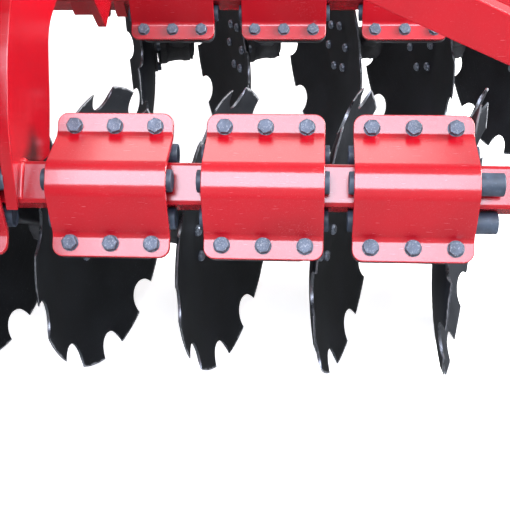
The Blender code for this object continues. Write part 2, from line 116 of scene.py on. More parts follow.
class Board:
    """Node tree of one material or world, around its shader node."""

    def __init__(self, owner: Any, shader: str, output: str) -> None:
        """Clear the owner's nodes and join a new shader to a new output.

        Args:
            owner: Material or world.
            shader: Blender's type of the shader node.
            output: Blender's type of the output node.
        """
        owner.use_nodes = True
        self.owner = owner
        self.tree = owner.node_tree
        self.tree.nodes.clear()
        self.shader = self.tree.nodes.new(shader)
        end = self.tree.nodes.new(output)
        self.tree.links.new(self.shader.outputs[0], end.inputs[0])

    @classmethod
    def material(cls, name: str) -> "Board":
        """Return the board of a new material."""
        made = bpy.data.materials.new(name)
        return cls(made, "ShaderNodeBsdfPrincipled", "ShaderNodeOutputMaterial")

    @classmethod
    def world(cls, name: str) -> "Board":
        """Return the board of a new world."""
        made = bpy.data.worlds.new(name)
        return cls(made, "ShaderNodeBackground", "ShaderNodeOutputWorld")

    def set(self, socket: Any, value: Any) -> None:
        """Link a wire to a socket, or store a plain value on it.

        Args:
            socket: Input socket.
            value: Wire, number or colour of three values.
        """
        if isinstance(value, Wire):
            self.tree.links.new(value.socket, socket)
        elif isinstance(value, tuple) and len(value) == 3 and socket.type == "RGBA":
            socket.default_value = (*value, 1.0)
        else:
            socket.default_value = value

    def node(
        self, kind: str, settings: dict[str, Any], inputs: dict[Any, Any], output: Any = 0
    ) -> Wire:
        """Add a node.

        Args:
            kind: Blender's node type.
            settings: Properties, set before the sockets.
            inputs: Socket name or number to value or wire.
            output: Socket name or number that is returned.

        Returns:
            The chosen output as a wire.
        """
        made = self.tree.nodes.new(kind)
        for key, value in settings.items():
            setattr(made, key, value)
        for key, value in inputs.items():
            self.set(made.inputs[key], value)
        return Wire(self, made.outputs[output])

    def place(self) -> Wire:
        """Return the object's own coordinates."""
        return self.node("ShaderNodeTexCoord", {}, {}, "Object")

    def stretched(self, scale: Point, source: Wire | None = None) -> Wire:
        """Scale coordinates by a different factor along each axis.

        Args:
            scale: Factor along X, Y and Z.
            source: Coordinates, or none for the object's own.

        Returns:
            The scaled coordinates.
        """
        return self.node(
            "ShaderNodeMapping", {}, {"Vector": source or self.place(), "Scale": scale}
        )

    def noise(self, scale: float, detail: float = 3.0, source: Wire | None = None) -> Wire:
        """Make a noise value around one half.

        Args:
            scale: Cells per metre.
            detail: Octaves of finer noise.
            source: Coordinates, or none for the object's own.

        Returns:
            The noise as a wire.
        """
        return self.node(
            "ShaderNodeTexNoise",
            {},
            {"Vector": source or self.place(), "Scale": scale, "Detail": detail},
        )

    def mix(self, factor: Any, first: Any, second: Any) -> Wire:
        """Mix two colours.

        Args:
            factor: Share of the second colour.
            first: First colour.
            second: Second colour.

        Returns:
            The mixed colour.
        """
        return self.node(
            "ShaderNodeMix", {"data_type": "RGBA"}, {0: factor, 6: first, 7: second}, 2
        )

    def bump(self, height: Wire, strength: float, distance: float, normal: Any = None) -> Wire:
        """Raise the normal by a height.

        Args:
            height: Height over the surface.
            strength: Share of the bump that shows.
            distance: Metres that a height of one stands for.
            normal: Normal that is raised, or none for the surface's own.

        Returns:
            The raised normal.
        """
        inputs: dict[Any, Any] = {
            "Height": height, "Strength": strength, "Distance": distance
        }
        if normal is not None:
            inputs["Normal"] = normal
        return self.node("ShaderNodeBump", {}, inputs)

    def give(self, **sockets: Any) -> Any:
        """Feed the shader.

        Args:
            sockets: Value or wire of each socket, with underscores for spaces in its name.

        Returns:
            The material or world.
        """
        for key, value in sockets.items():
            self.set(self.shader.inputs[key.replace("_", " ")], value)
        return self.owner


# ---- finishes -------------------------------------------------------------------------------
@dataclass(frozen=True)
class GlossPaint:
    """Thick gloss enamel with orange peel, dust and fine scratches."""

    name: str
    colour: Point
    shade: Point
    grain: float = 1.0
    roughness: float = 0.24

    def make(self) -> bpy.types.Material:
        """Wire the finish.

        Returns:
            The material.
        """
        board = Board.material(self.name)
        peel = board.noise(420.0, 2.0)
        wave = board.noise(38.0, 2.0)
        cloud = board.noise(6.0, 4.0)
        dust = board.noise(900.0, 1.0).clip(0.60, 0.74)
        scratch = board.noise(1.0, 2.0, board.stretched((45.0, 640.0, 640.0))).clip(0.70, 0.74)
        colour = board.mix(cloud.clip(0.35, 0.7), self.colour, self.shade)
        colour = board.mix(dust * 0.03 * self.grain, colour, (0.8, 0.45, 0.52))
        colour = board.mix(scratch * 0.12, colour, (0.8, 0.35, 0.42))
        rough = cloud * 0.10 + peel * 0.10 + (self.roughness - 0.10) + scratch * 0.12
        normal = board.bump(wave, 0.10, 0.004)
        normal = board.bump(peel, 0.16 * self.grain, 0.0008, normal)
        return board.give(
            Base_Color=colour, Roughness=rough, Normal=normal, Specular_IOR_Level=0.45,
            Coat_Weight=0.65, Coat_Roughness=0.2,
        )


@dataclass(frozen=True)
class DiscPaint:
    """Black varnish over rolled steel, thin and bright towards the cutting rim."""

    name: str = "disc_varnish"

    def make(self) -> bpy.types.Material:
        """Wire the finish over the disc's polar map of radius share and angle.

        Returns:
            The material.
        """
        board = Board.material(self.name)
        polar = board.node("ShaderNodeUVMap", {"uv_map": "polar"}, {})
        radius = board.node("ShaderNodeSeparateXYZ", {}, {"Vector": polar})
        ring_marks_and_sheen = board.noise(1.0, 3.0, board.stretched((260.0, 3.0, 1.0), polar))
        cloud = board.noise(9.0, 4.0)
        fleck = board.noise(240.0, 3.0).clip(0.62, 0.70)
        edge = (radius + (board.noise(60.0, 4.0) - 0.5) * 0.04).clip(0.984, 1.004)
        colour = board.mix(cloud.clip(0.35, 0.7), (0.006, 0.0068, 0.009), (0.012, 0.0135, 0.017))
        # Lighter ring bands: partly concentric rolling marks, partly a painted sheen that stands
        # in for reflected light.
        colour = board.mix(ring_marks_and_sheen.clip(0.5, 0.8) * 0.25, colour, (0.045, 0.05, 0.06))
        colour = board.mix(fleck * 0.10, colour, (0.20, 0.21, 0.24))
        colour = board.mix(edge * 0.85, colour, (0.62, 0.64, 0.68))
        rough = 0.30 + cloud * 0.12 + ring_marks_and_sheen * 0.08
        normal = board.bump(ring_marks_and_sheen, 0.10, 0.0006)
        normal = board.bump(board.noise(320.0, 2.0), 0.10, 0.0006, normal)
        return board.give(
            Base_Color=colour, Roughness=rough, Metallic=edge * 0.8, Normal=normal,
            Specular_IOR_Level=0.3,
        )


@dataclass(frozen=True)
class Steel:
    """Bare or plated steel with fine brushing and stains."""

    name: str
    colour: Point
    stain: Point
    roughness: float = 0.35
    metallic: float = 0.85

    def make(self) -> bpy.types.Material:
        """Wire the finish.

        Returns:
            The material.
        """
        board = Board.material(self.name)
        brush = board.noise(1.0, 3.0, board.stretched((500.0, 500.0, 90.0)))
        cloud = board.noise(45.0, 4.0)
        colour = board.mix(cloud.clip(0.45, 0.72), self.colour, self.stain)
        colour = board.mix(brush.clip(0.5, 0.8) * 0.3, colour, (0.75, 0.77, 0.8))
        rough = brush * 0.14 + cloud * 0.12 + (self.roughness - 0.10)
        return board.give(
            Base_Color=colour, Roughness=rough, Metallic=self.metallic,
            Normal=board.bump(brush, 0.12, 0.0004),
        )


@dataclass(frozen=True)
class Forging:
    """Black paint over a rough forged or cast skin."""

    name: str
    colour: Point = (0.016, 0.017, 0.021)
    light: Point = (0.05, 0.054, 0.062)

    def make(self) -> bpy.types.Material:
        """Wire the finish.

        Returns:
            The material.
        """
        board = Board.material(self.name)
        skin = board.noise(130.0, 4.0)
        cloud = board.noise(14.0, 3.0)
        dust = board.noise(500.0, 2.0).clip(0.58, 0.7)
        colour = board.mix(cloud.clip(0.4, 0.7), self.colour, self.light)
        colour = board.mix(dust * 0.2, colour, (0.22, 0.21, 0.2))
        normal = board.bump(skin, 0.35, 0.0015)
        return board.give(
            Base_Color=colour, Roughness=0.34 + cloud * 0.2, Coat_Weight=0.25, Normal=normal
        )


@dataclass(frozen=True)
class Rubber:
    """Blue-grey cut face of a rubber roll with moulding lines."""

    name: str = "roll_rubber"

    def make(self) -> bpy.types.Material:
        """Wire the finish.

        Returns:
            The material.
        """
        board = Board.material(self.name)
        grain = board.noise(260.0, 4.0)
        bloom = board.noise(30.0, 3.0)
        lines = board.noise(1.0, 2.0, board.stretched((30.0, 420.0, 420.0)))
        colour = board.mix(bloom.clip(0.3, 0.75), (0.014, 0.023, 0.037), (0.034, 0.052, 0.080))
        colour = board.mix(grain.clip(0.55, 0.75) * 0.4, colour, (0.07, 0.10, 0.14))
        normal = board.bump(grain, 0.25, 0.0008)
        normal = board.bump(lines, 0.2, 0.0008, normal)
        return board.give(Base_Color=colour, Roughness=0.42 + bloom * 0.2, Normal=normal)


@dataclass(frozen=True)
class Screed:
    """Plain pale studio floor."""

    name: str = "pale_floor"

    def make(self) -> bpy.types.Material:
        """Wire the finish.

        Returns:
            The material.
        """
        board = Board.material(self.name)
        cloud = board.noise(1.2, 3.0)
        colour = board.mix(cloud.clip(0.3, 0.7), (0.95, 0.95, 0.95), (0.93, 0.93, 0.93))
        return board.give(
            Base_Color=colour, Roughness=0.6 + cloud * 0.2, Emission_Color=colour,
            Emission_Strength=0.75, Specular_IOR_Level=0.1,
        )


class Finish(Enum):
    """Finishes that the harrow's pieces wear."""

    FRAME_RED = GlossPaint("frame_red", (0.32, 0.0012, 0.007), (0.27, 0.0012, 0.006), 0.8)
    PLATE_RED = GlossPaint("plate_red", (0.31, 0.0012, 0.007), (0.26, 0.0012, 0.006), 1.6)
    DISC = DiscPaint()
    DISC_EDGE = Steel("disc_edge", (0.16, 0.17, 0.19), (0.03, 0.032, 0.036), 0.30)
    ZINC = Steel("bolt_zinc", (0.055, 0.068, 0.094), (0.034, 0.043, 0.06), 0.42, 0.5)
    STUD = Steel("stud_steel", (0.30, 0.34, 0.42), (0.16, 0.19, 0.25), 0.26, 0.7)
    FORGED = Forging("arm_forging")
    RUBBER = Rubber()
    WELD = GlossPaint("weld_red", (0.62, 0.012, 0.02), (0.45, 0.008, 0.015), 2.5, 0.34)
    FLOOR = Screed()


MADE: dict[Finish, bpy.types.Material] = {}


def finish_of(choice: Finish) -> bpy.types.Material:
    """Look up the material of a finish, made on first use.

    Args:
        choice: Finish to look up.

    Returns:
        Its material.
    """
    if choice not in MADE:
        MADE[choice] = choice.value.make()
    return MADE[choice]


# ---- modelling ------------------------------------------------------------------------------
class Bench:
    """Hand moves that the sub-assemblies share."""

    @staticmethod
    def clear() -> None:
        """Leave edit mode with nothing selected."""
        if bpy.context.object and bpy.context.object.mode != "OBJECT":
            bpy.ops.object.mode_set(mode="OBJECT")
        bpy.ops.object.select_all(action="DESELECT")

    @classmethod
    def focus(cls, *objects: bpy.types.Object) -> None:
        """Select some objects and make the first one active.

        Args:
            objects: Objects, the active one first.
        """
        cls.clear()
        for obj in objects:
            obj.select_set(True)
        bpy.context.view_layer.objects.active = objects[0]

    @classmethod
    def adopt(cls, name: str) -> bpy.types.Object:
        """Name the primitive just added and move its place into its mesh.

        Args:
            name: Name of the piece.

        Returns:
            The object, at the origin.
        """
        obj = bpy.context.object
        obj.name = name
        obj.data.name = name
        bpy.ops.object.transform_apply(location=True, rotation=True, scale=True)
        return obj

    @classmethod
    def block(cls, name: str, centre: Sequence[float], size: Sequence[float]) -> bpy.types.Object:
        """Add a block to be shaped further.

        Args:
            name: Name of the piece.
            centre: Middle of the block.
            size: Length along X, Y and Z.

        Returns:
            The block.
        """
        cls.clear()
        bpy.ops.mesh.primitive_cube_add(size=1.0, location=tuple(centre), scale=tuple(size))
        return cls.adopt(name)

    @classmethod
    def bar(
        cls, name: str, start: Sequence[float], end: Sequence[float], radius: float,
        sides: int = 32,
    ) -> bpy.types.Object:
        """Add a bar between two points.

        Args:
            name: Name of the piece.
            start: Middle of the first end.
            end: Middle of the other end.
            radius: Radius over the corners.
            sides: Number of flat sides, many for a round bar.

        Returns:
            The bar.
        """
        cls.clear()
        first, last = Vector(start), Vector(end)
        along = last - first
        turn = along.to_track_quat("Z", "Y").to_euler()
        bpy.ops.mesh.primitive_cylinder_add(
            vertices=sides, radius=radius, depth=along.length,
            location=(first + last) / 2.0, rotation=turn,
        )
        return cls.adopt(name)

    @classmethod
    def chain(cls, name: str, points: Sequence[Sequence[float]]) -> bpy.types.Object:
        """Draw an open chain of edges by extruding a single point.

        Args:
            name: Name of the piece.
            points: Corners in order.

        Returns:
            The chain, all selected and in edit mode.
        """
        cls.clear()
        bpy.ops.mesh.primitive_plane_add(size=0.002, location=tuple(points[0]))
        obj = cls.adopt(name)
        bpy.ops.object.mode_set(mode="EDIT")
        bpy.ops.mesh.select_mode(type="VERT")
        bpy.ops.mesh.select_all(action="SELECT")
        bpy.ops.mesh.merge(type="CENTER")
        for before, after in zip(points, points[1:]):
            step = tuple(Vector(after) - Vector(before))
            bpy.ops.mesh.extrude_region_move(TRANSFORM_OT_translate={"value": step})
        bpy.ops.mesh.select_all(action="SELECT")
        return obj

    @classmethod
    def slab(
        cls, name: str, outline: Sequence[Sequence[float]], push: Sequence[float],
        rounds: Callable[[Vector], float] | None = None,
    ) -> bpy.types.Object:
        """Fill an outline and pull it into a plate.

        Args:
            name: Name of the piece.
            outline: Corners in order, in one plane.
            push: Vector from the first face to the second.
            rounds: Corner radius at a place, zero for a sharp corner.

        Returns:
            The plate.
        """
        obj = cls.chain(name, outline)
        bpy.ops.mesh.edge_face_add()
        if rounds is not None:
            for radius in sorted({rounds(Vector(point)) for point in outline}):
                if radius > 0.0:
                    cls.pick(obj, "VERT", lambda v, r=radius: abs(rounds(v.co) - r) < 1e-9)
                    bpy.ops.mesh.bevel(offset=radius, segments=5, affect="VERTICES")
        bpy.ops.mesh.select_all(action="SELECT")
        bpy.ops.mesh.extrude_region_move(TRANSFORM_OT_translate={"value": tuple(push)})
        cls.outward(obj)
        return obj

    @classmethod
    def pick(cls, obj: bpy.types.Object, kind: str, test: Callable[[Any], bool]) -> None:
        """Enter edit mode with only the parts selected that pass a test.

        Args:
            obj: Object to edit.
            kind: VERT, EDGE or FACE.
            test: Says whether a vertex, edge or face is selected.
        """
        cls.focus(obj)
        bpy.ops.object.mode_set(mode="EDIT")
        bpy.ops.mesh.select_mode(type=kind)
        bpy.ops.mesh.select_all(action="DESELECT")
        bpy.ops.object.mode_set(mode="OBJECT")
        parts = {
            "VERT": obj.data.vertices, "EDGE": obj.data.edges, "FACE": obj.data.polygons
        }[kind]
        for part in parts:
            part.select = bool(test(part))
        bpy.ops.object.mode_set(mode="EDIT")

    @classmethod
    def outward(cls, obj: bpy.types.Object) -> None:
        """Merge doubles and turn all faces out.

        Args:
            obj: Closed object.
        """
        cls.focus(obj)
        bpy.ops.object.mode_set(mode="EDIT")
        bpy.ops.mesh.select_mode(type="VERT")
        bpy.ops.mesh.select_all(action="SELECT")
        bpy.ops.mesh.remove_doubles(threshold=0.00002)
        bpy.ops.mesh.normals_make_consistent(inside=False)
        bpy.ops.object.mode_set(mode="OBJECT")

    @classmethod
    def lathe(
        cls, name: str, profile: Sequence[tuple[float, float]], steps: int
    ) -> bpy.types.Object:
        """Spin a profile about Z.

        Args:
            name: Name of the piece.
            profile: Pairs of radius and height, from pole to pole.
            steps: Number of flat sides.

        Returns:
            The turned piece.
        """
        obj = cls.chain(name, [(radius, 0.0, height) for radius, height in profile])
        bpy.ops.mesh.spin(
            steps=steps, angle=math.tau, center=(0.0, 0.0, 0.0), axis=(0.0, 0.0, 1.0)
        )
        cls.outward(obj)
        return obj

    @classmethod
    def modify(cls, obj: bpy.types.Object, kind: str, **settings: Any) -> None:
        """Add a modifier and apply it.

        Args:
            obj: Object to change.
            kind: Blender's type of the modifier.
            settings: Properties of the modifier.
        """
        cls.focus(obj)
        modifier = obj.modifiers.new("step", kind)
        for key, value in settings.items():
            setattr(modifier, key, value)
        bpy.ops.object.modifier_apply(modifier=modifier.name)

    @classmethod
    def soften(
        cls, obj: bpy.types.Object, width: float, segments: int = 3, angle: float = 32.0
    ) -> None:
        """Round every edge sharper than an angle and keep the flats evenly shaded.

        Args:
            obj: Object to finish.
            width: Width of the rounding.
            segments: Steps across the rounding.
            angle: Smallest turn of an edge that is rounded, in degrees.
        """
        cls.modify(
            obj, "BEVEL", width=width, segments=segments, limit_method="ANGLE",
            angle_limit=math.radians(angle), use_clamp_overlap=True,
        )
        cls.shade(obj)
        cls.modify(obj, "WEIGHTED_NORMAL", mode="FACE_AREA", weight=80, keep_sharp=True)

    @classmethod
    def shade(cls, obj: bpy.types.Object, angle: float = 40.0) -> None:
        """Shade smooth below an angle."""
        cls.focus(obj)
        bpy.ops.object.shade_smooth_by_angle(angle=math.radians(angle))

    @classmethod
    def join(cls, name: str, parts: Sequence[bpy.types.Object]) -> bpy.types.Object:
        """Join parts into one piece.

        Args:
            name: Name of the piece.
            parts: Objects to join.

        Returns:
            The first part, which now holds them all.
        """
        cls.focus(*parts)
        if len(parts) > 1:
            bpy.ops.object.join()
        obj = parts[0]
        obj.name = name
        obj.data.name = name
        return obj

    @classmethod
    def copy(
        cls, source: bpy.types.Object, name: str, place: Matrix | None = None
    ) -> bpy.types.Object:
        """Copy an object with a mesh of its own, and move that mesh.

        Args:
            source: Object to copy.
            name: Name of the copy.
            place: Move of the mesh, or none.

        Returns:
            The copy.
        """
        obj = source.copy()
        obj.data = source.data.copy()
        obj.name = name
        obj.data.name = name
        bpy.context.scene.collection.objects.link(obj)
        if place is not None:
            obj.data.transform(place)
        return obj

    @classmethod
    def drill(cls, obj: bpy.types.Object, cutters: Sequence[bpy.types.Object]) -> None:
        """Cut bars out of a piece and remove them.

        Args:
            obj: Piece to cut.
            cutters: Bars that stand apart from each other.
        """
        tool = cls.join("tool", cutters)
        cls.modify(obj, "BOOLEAN", operation="DIFFERENCE", solver="EXACT", object=tool)
        cls.scrap(tool)
        cls.outward(obj)

    @classmethod
    def scrap(cls, *objects: bpy.types.Object) -> None:
        """Remove patterns that are no longer needed."""
        for obj in objects:
            bpy.data.objects.remove(obj, do_unlink=True)

    @classmethod
    def paint(cls, obj: bpy.types.Object, *choices: Finish) -> bpy.types.Object:
        """Give a piece its finishes.

        Args:
            obj: Piece to paint.
            choices: One finish for each material slot.

        Returns:
            The same piece.
        """
        while len(obj.data.materials) < len(choices):
            obj.data.materials.append(None)
        for slot, choice in enumerate(choices):
            obj.data.materials[slot] = finish_of(choice)
        return obj


def hand_over(
    obj: bpy.types.Object, body: str, stands_for: Iterable[str] = ()
) -> bpy.types.Object:
    """Tie a finished piece to the CAD and report it.

    Args:
        obj: Finished piece.
        body: CAD body that it moves with.
        stands_for: CAD nodes that it replaces.

    Returns:
        The same piece.
    """
    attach(obj, body)
    for node in stands_for:
        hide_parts(node)
    log.info("%s on %s", obj.name, body)
    return obj


def middle(node: str) -> Vector:
    """Return the middle of a CAD node's box."""
    low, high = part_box(node)
    return (Vector(low) + Vector(high)) / 2.0


def spin_of(body: str) -> tuple[Vector, Vector]:
    """Look up the joint that a body turns on.

    Args:
        body: Name of the turning body.

    Returns:
        A point on the joint's axis and the unit axis.
    """
    for joint in frame["record"]["behaviour"]["joints"]:
        if joint["child"] == body:
            return Vector(joint["pos_m"]), Vector(joint["axis"]).normalized()
    raise KeyError(body)


def around(count: int, radius: float, first: float = 0.0) -> list[Vector]:
    """Space places evenly on a circle about Z.

    Args:
        count: Number of places.
        radius: Radius of the circle.
        first: Angle of the first place, as a share of the pitch.

    Returns:
        The places, in order.
    """
    angles = [math.tau * (number + first) / count for number in range(count)]
    return [Vector((math.cos(turn), math.sin(turn), 0.0)) * radius for turn in angles]


def lift(height: float) -> Vector:
    """Return a step along Z."""
    return Vector((0.0, 0.0, height))


class Row(Enum):
    """The two gangs, by the side that their discs face."""

    FRONT = ("front", 1.0)
    REAR = ("rear", -1.0)

    @property
    def label(self) -> str:
        """Name used in the CAD nodes."""
        return self.value[0]

    @property
    def toward(self) -> float:
        """Side of the disc seen from its arm, +1 for +X."""
        return self.value[1]


# ---- saddle clamps --------------------------------------------------------------------------
@dataclass
class SaddleClamp:
    """Pressed front plate, rubber rolls and bolts of one arm's clamp."""

    width: float = 0.196
    flange_end: float = 0.121
    bend: float = 0.080
    flange_face: float = 0.014
    apex_face: float = 0.074
    apex_half: float = 0.020
    apex_round: float = 0.011
    bend_round: float = 0.008
    bend_lead: float = 0.002
    corner_round: float = 0.018
    thick: float = 0.010
    bolt_pitch: float = 0.068
    bolt_row: float = 0.0984
    roll_radius: float = 0.0184
    roll_seat: float = 0.0536
    roll_reach: float = 0.008

    def place(self, centre: Vector) -> Matrix:
        """Turn the clamp's own axes to the machine.

        The clamp's X runs along the beam, its Y up along the joint plane and its Z outward.

        Args:
            centre: Clamp's middle on its beam.

        Returns:
            The matrix of the turn and the place.
        """
        c = math.sqrt(0.5)
        turn = Matrix(((1.0, 0.0, 0.0), (0.0, c, -c), (0.0, c, c))).to_4x4()
        return Matrix.Translation(centre) @ turn

    def half_shell(self, name: str, low: float, high: float) -> bpy.types.Object:
        """Model one pressed half.

        Args:
            name: Name of the piece.
            low: Place of one end along the beam.
            high: Place of the other end.

        Returns:
            The half, bulging towards +Z.
        """
        face = self.thick / 2.0
        trace = [
            (low, -self.flange_end, self.flange_face - face),
            (low, -self.bend - self.bend_lead, self.flange_face - face),
            (low, -self.apex_half, self.apex_face - face),
            (low, self.apex_half, self.apex_face - face),
            (low, self.bend + self.bend_lead, self.flange_face - face),
            (low, self.flange_end, self.flange_face - face),
        ]
        obj = Bench.chain(name, trace)
        bpy.ops.mesh.extrude_region_move(TRANSFORM_OT_translate={"value": (high - low, 0, 0)})
        bpy.ops.object.mode_set(mode="OBJECT")

        def bend_at(edge: Any, low_y: float, high_y: float) -> bool:
            """Tell whether an edge along the beam lies between two heights."""
            ends = [obj.data.vertices[index].co for index in edge.vertices]
            return abs(ends[0].x - ends[1].x) > 0.01 and low_y < abs(ends[0].y) < high_y

        Bench.pick(obj, "EDGE", lambda e: bend_at(e, 0.0, self.apex_half + 0.001))
        bpy.ops.mesh.bevel(offset=self.apex_round, segments=6, affect="EDGES")
        Bench.pick(obj, "EDGE", lambda e: bend_at(e, self.bend, self.bend + 0.004))
        bpy.ops.mesh.bevel(offset=self.bend_round, segments=5, affect="EDGES")
        Bench.pick(
            obj, "VERT",
            lambda v: abs(abs(v.co.y) - self.flange_end) < 1e-4
            and (abs(v.co.x - low) < 1e-4 or abs(v.co.x - high) < 1e-4),
        )
        bpy.ops.mesh.bevel(offset=self.corner_round, segments=6, affect="VERTICES")
        Bench.outward(obj)
        Bench.modify(obj, "SOLIDIFY", thickness=self.thick, offset=0.0)
        Bench.outward(obj)
        Bench.soften(obj, 0.0016, 3, 50.0)
        return obj

    def bolt(self, name: str) -> bpy.types.Object:
        """Model one hexagon bolt with its washer, nut and thread end.

        Args:
            name: Name of the piece.

        Returns:
            The bolt, its head's seat at the origin.
        """
        head = Bench.bar("head", (0, 0, 0.0005), (0, 0, 0.0105), 0.0132, 6)
        Bench.pick(head, "EDGE", lambda e: all(
            head.data.vertices[i].co.z > 0.010 for i in e.vertices))
        bpy.ops.mesh.bevel(offset=0.0016, segments=3, affect="EDGES")
        Bench.pick(head, "FACE", lambda p: p.normal.z > 0.99 and p.center.z > 0.0104)
        bpy.ops.mesh.inset(thickness=0.0028, depth=-0.0004)
        Bench.shade(head, 25.0)
        washer = Bench.bar("washer", (0, 0, -0.0002), (0, 0, 0.0012), 0.0140, 28)
        Bench.soften(washer, 0.0004, 2)
        below = -2.0 * self.flange_face
        nut = Bench.bar("nut", (0, 0, below - 0.0125), (0, 0, below - 0.0002), 0.0132, 6)
        Bench.soften(nut, 0.0012, 2)
        tip = Bench.bar("tip", (0, 0, below - 0.0195), (0, 0, below - 0.012), 0.0078, 20)
        Bench.soften(tip, 0.0012, 2)
        return Bench.join(name, [head, washer, nut, tip])

    def bolt_set(self, name: str) -> bpy.types.Object:
        """Model the six bolts, each turned a little differently.

        Args:
            name: Name of the piece.

        Returns:
            The bolts in the clamp's own axes.
        """
        pattern = self.bolt("bolt_pattern")
        parts = []
        for number in range(6):
            across = (number % 3 - 1) * self.bolt_pitch
            up = self.bolt_row * (1 if number < 3 else -1)
            turn = Matrix.Rotation(math.radians(30.0 + 17.0 * number), 4, "Z")
            spot = Matrix.Translation((across, up, self.flange_face))
            parts.append(Bench.copy(pattern, "bolt_%d" % number, spot @ turn))
        Bench.scrap(pattern)
        return Bench.join(name, parts)

    def rolls(
        self, name: str, extra: float, shell: tuple[float, float]
    ) -> bpy.types.Object:
        """Model the four rubber rolls.

        Args:
            name: Name of the piece.
            extra: How much further the two front rolls reach.
            shell: Ends of the rear shell, which the rear roll keeps to.

        Returns:
            The rolls in the clamp's own axes.
        """
        parts = []
        reach = self.width / 2.0 + self.roll_reach
        seats = ((0.0, 1.0, extra), (-1.0, 0.0, extra), (0.0, -1.0, 0.0), (1.0, 0.0, 0.0))
        for up, out, more in seats:
            y, z = up * self.roll_seat, out * self.roll_seat
            low, high = (-reach, reach + more) if out >= 0.0 else shell
            roll = Bench.bar("roll", (low, y, z), (high, y, z), self.roll_radius, 36)
            Bench.pick(roll, "FACE", lambda p: abs(p.normal.x) > 0.99)
            bpy.ops.mesh.inset(thickness=0.0045)
            bpy.ops.mesh.inset(thickness=0.003, depth=-0.002)
            Bench.soften(roll, 0.0022, 3)
            parts.append(roll)
        return Bench.join(name, parts)


# ---- arms -----------------------------------------------------------------------------------
@dataclass
class DiscArm:
    """Forged arm with its bearing housing, from the rear clamp half to the disc's hub."""

    hub_gap: float = 0.073
    hub_half: float = 0.052
    cap_bolt_circle: float = 0.041
    cap_bolts: int = 4

    def housing(self, name: str, centre: Vector, axis: Vector) -> bpy.types.Object:
        """Model the bearing housing on its axis, with cap and seal lip.

        Args:
            name: Name of the piece.
            centre: Middle of the disc's rim plane.
            axis: Unit axis of the disc, away from the arm.

        Returns:
            The housing in place.
        """
        profile = [
            (0.0, -0.020), (0.0215, -0.020), (0.0215, 0.0), (0.046, 0.0), (0.050, -0.004),
            (0.050, -0.020), (0.046, -0.026), (0.044, -0.040), (0.044, -0.062),
            (0.047, -0.070), (0.047, -0.086), (0.038, -0.089), (0.036, -0.097),
            (0.024, -0.1005), (0.0, -0.1015),
        ]
        obj = Bench.lathe(name, profile, 48)
        Bench.soften(obj, 0.0012, 2)
        turn = axis.to_track_quat("Z", "Y").to_matrix().to_4x4()
        obj.data.transform(Matrix.Translation(centre - axis * self.hub_gap) @ turn)
        bolts = []
        for spot in around(self.cap_bolts, self.cap_bolt_circle, 0.5):
            bolt = Bench.bar("cap_bolt", spot + lift(-0.094), spot + lift(-0.088), 0.0058, 6)
            bolt.data.transform(Matrix.Translation(centre - axis * self.hub_gap) @ turn)
            bolts.append(bolt)
        return Bench.join(name, [obj, *bolts])

    def blade(self, name: str, root: Vector, hub: Vector, side: float) -> bpy.types.Object:
        """Model the cranked arm by pulling a block's end face along its path.

        Args:
            name: Name of the piece.
            root: Where the arm leaves the rear clamp half.
            hub: Middle of the bearing housing.
            side: Side of the disc seen from its arm, +1 for +X.

        Returns:
            The arm in place.
        """
        c = math.sqrt(0.5)
        path = [
            (root, 0.110, 0.046),
            (root + Vector((0.006 * side, 0.040, -0.048)), 0.082, 0.050),
            (root + Vector((0.016 * side, 0.088, -0.108)), 0.058, 0.056),
            (root.lerp(hub, 0.72) + Vector((0.0, 0.010, 0.004)), 0.050, 0.056),
            (hub, 0.052, 0.050),
        ]
        spot, wide, deep = path[0]
        obj = Bench.block(name, (0, 0, 0), (wide, deep, 0.02))
        obj.data.transform(Matrix.Rotation(math.radians(45.0), 4, "X"))
        obj.data.transform(Matrix.Translation(spot))
        normal = Vector((0.0, c, -c))
        Bench.pick(obj, "FACE", lambda p: p.normal.dot(normal) > 0.9)
        for before, after in zip(path, path[1:]):
            step = after[0] - before[0]
            bpy.ops.mesh.extrude_region_move(TRANSFORM_OT_translate={"value": tuple(step)})
            bpy.ops.transform.resize(
                value=(after[1] / before[1], after[2] / before[2], after[2] / before[2]),
                center_override=tuple(after[0] + normal * 0.01),
            )
        Bench.outward(obj)
        Bench.modify(
            obj, "BEVEL", width=0.009, segments=2, limit_method="ANGLE",
            angle_limit=math.radians(45.0), use_clamp_overlap=True,
        )
        Bench.modify(obj, "SUBSURF", levels=1, render_levels=1)
        Bench.shade(obj, 60.0)
        return obj


